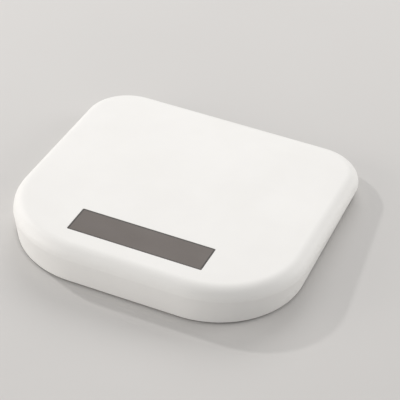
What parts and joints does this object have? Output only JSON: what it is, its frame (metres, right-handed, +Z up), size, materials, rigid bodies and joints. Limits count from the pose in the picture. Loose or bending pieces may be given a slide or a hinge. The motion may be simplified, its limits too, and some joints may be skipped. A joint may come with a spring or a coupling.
{
  "type": "digital bathroom scale",
  "caption": "Low white bathroom scale with a gently sloping deck, rounded corners, a dark display window near the front, and a load cell over every foot.",
  "frame": {"origin": "centre of the footprint on the floor under the foot pads", "axes": "+Z up through the deck, +X along the long way to the right as the display is read, -Y towards the front edge with the display"},
  "size_m": [0.28, 0.2654, 0.0397],
  "materials": {
    "cover_white": "fine moulded white plastic, soft gloss",
    "window_grey": "grey-brown printed window sheet",
    "adhesive_black": "black foam adhesive",
    "display_glass": "display glass with polariser",
    "frame_white": "white moulded frame",
    "strip_rubber": "striped silicone rubber",
    "board_green": "green solder mask over glass laminate",
    "resin_black": "black resin",
    "chip_black": "black moulded chip with tinned legs",
    "component_ends": "chip parts with tinned ends",
    "switch_steel": "stamped steel shell on black base",
    "plunger_black": "black plastic",
    "button_grey": "grey plastic",
    "tray_grey": "dark grey moulded plastic, fine texture",
    "battery_wrap": "plain printed sleeve on steel can",
    "spring_steel": "nickel plated spring steel",
    "solder_tin": "tin solder",
    "screw_steel": "zinc plated steel",
    "foot_grey": "grey plastic",
    "pad_rubber": "dark grey rubber",
    "cell_steel": "nickel plated spring steel",
    "gauge_film": "amber film under clear coating",
    "holder_black": "black moulded plastic",
    "wire_sleeves": "vinyl insulated wire"
  },
  "bodies": {
    "housing": {"top_cover": "cover_white", "display_lens": "window_grey", "lens_tape": "adhesive_black", "display_glass": "display_glass", "display_frame": "frame_white", "contact_strip": "strip_rubber", "main_board": "board_green", "controller_blob": "resin_black", "amplifier_chip": "chip_black", "small_components": "component_ends", "unit_switch": "switch_steel", "base_tray": "tray_grey", "batteries": "battery_wrap", "battery_springs": "spring_steel", "battery_link": "spring_steel", "battery_terminals": "spring_steel", "battery_wires": "wire_sleeves", "solder_joints": "solder_tin", "case_screws": "screw_steel", "board_screws": "screw_steel", "holder_screws": "screw_steel", "load_cell_front_left": "cell_steel", "strain_gauge_front_left": "gauge_film", "cell_holder_front_left": "holder_black", "cell_wires_front_left": "wire_sleeves", "load_cell_front_right": "cell_steel", "strain_gauge_front_right": "gauge_film", "cell_holder_front_right": "holder_black", "cell_wires_front_right": "wire_sleeves", "load_cell_rear_left": "cell_steel", "strain_gauge_rear_left": "gauge_film", "cell_holder_rear_left": "holder_black", "cell_wires_rear_left": "wire_sleeves", "load_cell_rear_right": "cell_steel", "strain_gauge_rear_right": "gauge_film", "cell_holder_rear_right": "holder_black", "cell_wires_rear_right": "wire_sleeves"},
    "unit_button": {"unit_button": "button_grey", "switch_plunger": "plunger_black"},
    "battery_door": {"battery_door": "tray_grey"},
    "foot_front_left": {"foot_cup_front_left": "foot_grey", "foot_pad_front_left": "pad_rubber"},
    "foot_front_right": {"foot_cup_front_right": "foot_grey", "foot_pad_front_right": "pad_rubber"},
    "foot_rear_left": {"foot_cup_rear_left": "foot_grey", "foot_pad_rear_left": "pad_rubber"},
    "foot_rear_right": {"foot_cup_rear_right": "foot_grey", "foot_pad_rear_right": "pad_rubber"}
  },
  "joints": [
    {"name": "foot_press_front_left", "type": "slide", "parent": "housing", "child": "foot_front_left", "axis": [0, 0, 1], "range_m": [0, 0.0004], "deforming": ["load_cell_front_left"]},
    {"name": "foot_press_front_right", "type": "slide", "parent": "housing", "child": "foot_front_right", "axis": [0, 0, 1], "range_m": [0, 0.0004], "deforming": ["load_cell_front_right"]},
    {"name": "foot_press_rear_left", "type": "slide", "parent": "housing", "child": "foot_rear_left", "axis": [0, 0, 1], "range_m": [0, 0.0004], "deforming": ["load_cell_rear_left"]},
    {"name": "foot_press_rear_right", "type": "slide", "parent": "housing", "child": "foot_rear_right", "axis": [0, 0, 1], "range_m": [0, 0.0004], "deforming": ["load_cell_rear_right"]},
    {"name": "unit_button_press", "type": "slide", "parent": "housing", "child": "unit_button", "axis": [0, 0, 1], "range_m": [0, 0.0006], "stiffness_N_per_m": 2500, "springref_m": -0.0002},
    {"name": "battery_door_hinge", "type": "hinge", "parent": "housing", "child": "battery_door", "pos_m": [0, 0.0383, 0.0043], "axis": [1, 0, 0], "range_deg": [0, 90]}
  ]
}
